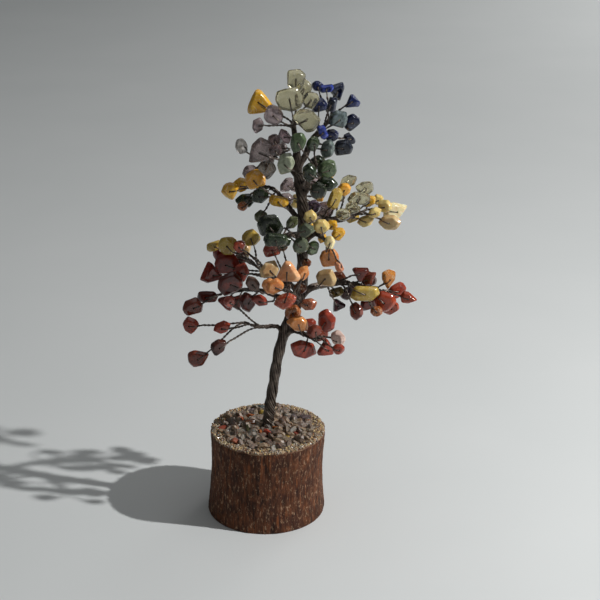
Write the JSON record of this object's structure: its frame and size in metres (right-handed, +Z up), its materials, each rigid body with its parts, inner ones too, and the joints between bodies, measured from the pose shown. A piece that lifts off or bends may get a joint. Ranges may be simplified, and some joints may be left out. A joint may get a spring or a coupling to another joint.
{
  "type": "gemstone tree ornament",
  "caption": "Small ornamental tree of twisted dark wire hung with drilled stone chips, standing in gem gravel on a round log base.",
  "frame": {"origin": "centre of the log's flat underside", "axes": "+Z up, -Y towards the viewer of the picture, +X to the viewer's right"},
  "size_m": [0.1003, 0.0681, 0.197],
  "materials": {
    "jasper": "polished",
    "carnelian": "polished",
    "citrine": "polished",
    "aventurine": "polished",
    "lapis": "polished",
    "amethyst": "polished",
    "quartz": "polished",
    "bark_wood": "rough bark",
    "resin": "glossy",
    "wire": "satin enamel"
  },
  "bodies": {
    "base": {"wood_log": "bark_wood", "resin_bed": "resin", "gravel_quartz": "quartz", "gravel_amethyst": "amethyst", "gravel_jasper": "jasper", "trunk": "wire"},
    "low_left": {"low_left_limb": "wire", "low_left_twigs": "wire", "low_left_jasper": "jasper"},
    "low_right": {"low_right_limb": "wire", "low_right_twigs": "wire", "low_right_jasper": "jasper", "low_right_carnelian": "carnelian"},
    "front_middle": {"front_middle_limb": "wire", "front_middle_twigs": "wire", "front_middle_carnelian": "carnelian"},
    "left_middle": {"left_middle_limb": "wire", "left_middle_twigs": "wire", "left_middle_jasper": "jasper"},
    "left_back": {"left_back_limb": "wire", "left_back_twigs": "wire", "left_back_citrine": "citrine", "left_back_jasper": "jasper"},
    "right_middle": {"right_middle_limb": "wire", "right_middle_twigs": "wire", "right_middle_citrine": "citrine", "right_middle_jasper": "jasper"},
    "front_upper": {"front_upper_limb": "wire", "front_upper_twigs": "wire", "front_upper_aventurine": "aventurine"},
    "right_front": {"right_front_limb": "wire", "right_front_twigs": "wire", "right_front_citrine": "citrine", "right_front_carnelian": "carnelian"},
    "right_upper": {"right_upper_limb": "wire", "right_upper_twigs": "wire", "right_upper_quartz": "quartz", "right_upper_citrine": "citrine"},
    "left_upper": {"left_upper_limb": "wire", "left_upper_twigs": "wire", "left_upper_citrine": "citrine", "left_upper_aventurine": "aventurine"},
    "back": {"back_limb": "wire", "back_twigs": "wire", "back_amethyst": "amethyst", "back_citrine": "citrine"},
    "right_high": {"right_high_limb": "wire", "right_high_twigs": "wire", "right_high_aventurine": "aventurine"},
    "crown_left": {"crown_left_limb": "wire", "crown_left_twigs": "wire", "crown_left_amethyst": "amethyst"},
    "crown_right": {"crown_right_limb": "wire", "crown_right_twigs": "wire", "crown_right_lapis": "lapis"},
    "crown_top": {"crown_top_limb": "wire", "crown_top_twigs": "wire", "crown_top_quartz": "quartz", "crown_top_amethyst": "amethyst", "crown_top_citrine": "citrine"}
  },
  "joints": [
    {"name": "low_left_bend", "type": "hinge", "parent": "base", "child": "low_left", "pos_m": [0.00443, -0.00059, 0.087], "axis": [0.1392, -0.9903, 0], "range_deg": [-8, 8]},
    {"name": "low_right_bend", "type": "hinge", "parent": "base", "child": "low_right", "pos_m": [0.01144, -0.00269, 0.086], "axis": [0.6428, 0.766, 0], "range_deg": [-8, 8]},
    {"name": "front_middle_bend", "type": "hinge", "parent": "base", "child": "front_middle", "pos_m": [0.01292, -0.00423, 0.101], "axis": [0.9659, -0.2588, 0], "range_deg": [-8, 8]},
    {"name": "left_middle_bend", "type": "hinge", "parent": "base", "child": "left_middle", "pos_m": [0.00876, 0.00062, 0.098], "axis": [-0.1392, -0.9903, 0], "range_deg": [-6, 6]},
    {"name": "left_back_bend", "type": "hinge", "parent": "base", "child": "left_back", "pos_m": [0.01104, 0.00214, 0.104], "axis": [-0.5, -0.866, 0], "range_deg": [-6, 6]},
    {"name": "right_middle_bend", "type": "hinge", "parent": "base", "child": "right_middle", "pos_m": [0.01892, 0.00089, 0.104], "axis": [-0.2079, 0.9781, 0], "range_deg": [-8, 8]},
    {"name": "front_upper_bend", "type": "hinge", "parent": "base", "child": "front_upper", "pos_m": [0.01284, -0.00343, 0.128], "axis": [0.8192, -0.5736, 0], "range_deg": [-8, 8]},
    {"name": "right_front_bend", "type": "hinge", "parent": "base", "child": "right_front", "pos_m": [0.01918, -0.00143, 0.128], "axis": [0.342, 0.9397, 0], "range_deg": [-8, 8]},
    {"name": "right_upper_bend", "type": "hinge", "parent": "base", "child": "right_upper", "pos_m": [0.01927, 0.00174, 0.135], "axis": [-0.4226, 0.9063, 0], "range_deg": [-8, 8]},
    {"name": "left_upper_bend", "type": "hinge", "parent": "base", "child": "left_upper", "pos_m": [0.01161, 0.00106, 0.136], "axis": [-0.2588, -0.9659, 0], "range_deg": [-8, 8]},
    {"name": "back_bend", "type": "hinge", "parent": "base", "child": "back", "pos_m": [0.01541, 0.00405, 0.139], "axis": [-0.9994, 0.0349, 0], "range_deg": [-8, 8]},
    {"name": "right_high_bend", "type": "hinge", "parent": "base", "child": "right_high", "pos_m": [0.01723, -0.00223, 0.148], "axis": [0.5736, 0.8192, 0], "range_deg": [-4, 4]},
    {"name": "crown_left_bend", "type": "hinge", "parent": "base", "child": "crown_left", "pos_m": [0.00914, 0.00013, 0.157], "axis": [-0.0349, -0.9994, 0], "range_deg": [-6, 6]},
    {"name": "crown_right_bend", "type": "hinge", "parent": "base", "child": "crown_right", "pos_m": [0.01619, 0.00031, 0.161], "axis": [-0.0872, 0.9962, 0], "range_deg": [-4, 4]},
    {"name": "crown_top_bend", "type": "hinge", "parent": "base", "child": "crown_top", "pos_m": [0.0128, 0, 0.1677], "axis": [0, 1, 0], "range_deg": [-4, 4]}
  ]
}
